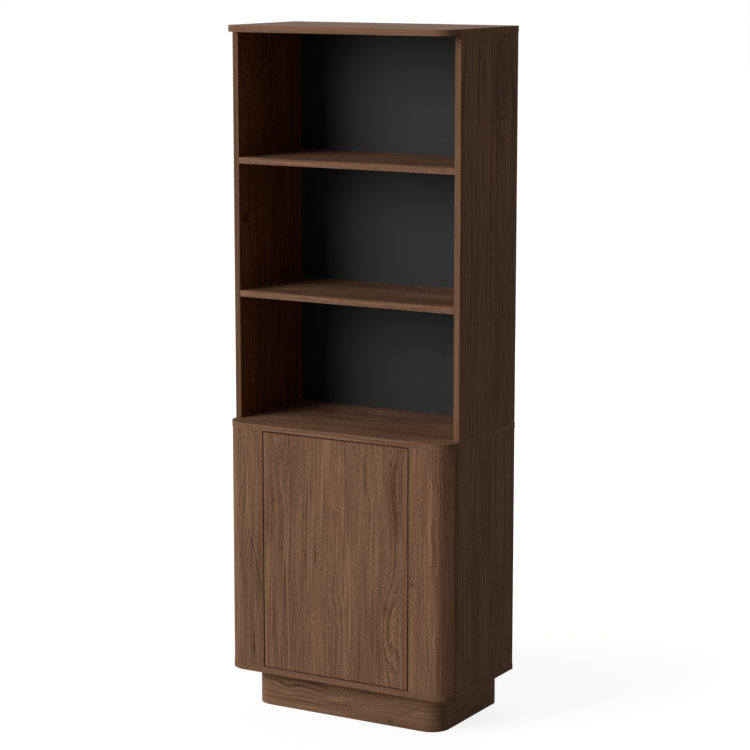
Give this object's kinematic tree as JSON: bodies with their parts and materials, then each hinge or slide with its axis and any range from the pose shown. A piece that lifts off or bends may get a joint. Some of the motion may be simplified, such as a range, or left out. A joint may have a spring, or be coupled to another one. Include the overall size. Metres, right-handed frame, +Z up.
{
  "type": "bookshelf",
  "caption": "Tall walnut bookshelf: an open rack with a black back over a cabinet with rounded front posts, a flush push-to-open door and a recessed plinth.",
  "frame": {"origin": "middle of the footprint, on the floor", "axes": "+Z up, -Y to the front (the door's side), +X to the viewer's right when facing the front"},
  "size_m": [0.65, 0.352, 1.748],
  "materials": {
    "walnut_board": "satin, figured dark walnut face",
    "pine_block": "raw sawn",
    "beech_dowel": "raw, fluted",
    "black_sheet": "semi-matt black face",
    "zinc_screw": "zinc plated",
    "nickel_steel": "nickel plated",
    "zinc_casting": "die cast, dull",
    "grey_plastic": "moulded, matt",
    "magnet": "ground",
    "spring_steel": "bright"
  },
  "bodies": {
    "carcass": {"plinth_wrap": "walnut_board", "plinth_rear_rail": "walnut_board", "plinth_cross_brace": "walnut_board", "cabinet_bottom": "walnut_board", "cabinet_top": "walnut_board", "cabinet_side_left": "walnut_board", "cabinet_side_right": "walnut_board", "corner_post_left": "walnut_board", "corner_post_right": "walnut_board", "hinge_stile": "walnut_board", "latch_stile": "walnut_board", "cabinet_shelf": "walnut_board", "rack_side_left": "walnut_board", "rack_side_right": "walnut_board", "shelf_upper": "walnut_board", "shelf_lower": "walnut_board", "top_board": "walnut_board", "plinth_glue_blocks": "pine_block", "cabinet_dowels": "beech_dowel", "rack_dowels": "beech_dowel", "shelf_dowels": "beech_dowel", "rack_back": "black_sheet", "cabinet_back": "black_sheet", "plinth_screws": "zinc_screw", "cabinet_back_screws": "zinc_screw", "rack_back_screws": "zinc_screw", "hinge_plate_screws": "zinc_screw", "hinge_arm_screws": "zinc_screw", "latch_screws": "zinc_screw", "bracket_screws": "zinc_screw", "cam_bolts": "zinc_screw", "hinge_arm_upper": "nickel_steel", "hinge_arm_lower": "nickel_steel", "hinge_plate_upper": "nickel_steel", "hinge_plate_lower": "nickel_steel", "shelf_pins": "nickel_steel", "wall_bracket": "nickel_steel", "cam_locks": "zinc_casting", "latch_housing": "grey_plastic", "latch_spring": "spring_steel"},
    "door": {"door_panel": "walnut_board", "hinge_cup_upper": "nickel_steel", "hinge_cup_lower": "nickel_steel", "hinge_pin_upper": "nickel_steel", "hinge_pin_lower": "nickel_steel", "hinge_cup_screws": "zinc_screw", "strike_plate": "nickel_steel", "strike_screws": "zinc_screw"},
    "latch_plunger": {"latch_plunger": "grey_plastic", "latch_magnet": "magnet"}
  },
  "joints": [
    {"name": "door_hinge", "type": "hinge", "parent": "carcass", "child": "door", "pos_m": [-0.1955, -0.168, 0.425], "axis": [0, 0, -1], "range_deg": [0, 105]},
    {"name": "latch_plunger_slide", "type": "slide", "parent": "carcass", "child": "latch_plunger", "axis": [0, -1, 0], "range_m": [0, 0.014]}
  ],
  "couplings": [
    {"joint": "latch_plunger_slide", "follows": "door_hinge", "m_per_rad": 0.0076}
  ]
}
